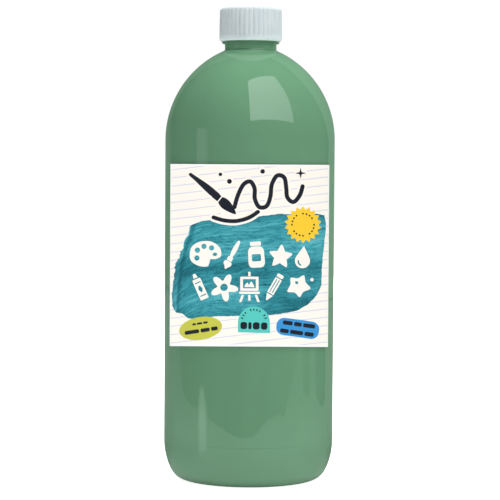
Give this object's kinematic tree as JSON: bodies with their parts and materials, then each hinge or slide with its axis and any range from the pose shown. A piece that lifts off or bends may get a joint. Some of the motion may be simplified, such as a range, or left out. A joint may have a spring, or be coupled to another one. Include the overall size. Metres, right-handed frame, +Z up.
{
  "type": "paint bottle",
  "caption": "Tall clear plastic paint bottle with a domed shoulder, rounded heel, screw neck, ribbed screw cap with a sealing liner, and wrap labels.",
  "frame": {"origin": "centre of the base, on the plane the bottle stands on", "axes": "+Z up along the bottle's axis to the cap; the front label faces -Y; +X to the viewer's right when facing the front label"},
  "size_m": [0.0834, 0.0838, 0.2319],
  "materials": {
    "clear_pet": "clear, glossy, blown PET",
    "paint_green": "sage green ready-mixed paint, seen through the bottle",
    "cap_plastic": "pale grey-white moulded polypropylene, satin gloss",
    "liner_foam": "white foam with a smooth film face",
    "label_front": "cream film label with a printed teal brush patch",
    "label_back": "cream film label, plain printed blocks"
  },
  "bodies": {
    "bottle": {"bottle": "clear_pet", "paint": "paint_green", "front_label": "label_front", "back_label": "label_back"},
    "liner": {"cap_liner": "liner_foam"},
    "cap": {"cap": "cap_plastic"}
  },
  "joints": [
    {"name": "cap_rise", "type": "slide", "parent": "bottle", "child": "liner", "axis": [0, 0, 1], "range_m": [0, 0.017]},
    {"name": "cap_turn", "type": "hinge", "parent": "liner", "child": "cap", "pos_m": [0, 0, 0.2241], "axis": [0, 0, 1], "range_deg": [0, 1440]}
  ],
  "couplings": [
    {"joint": "cap_rise", "follows": "cap_turn", "m_per_rad": 0.00067376}
  ]
}
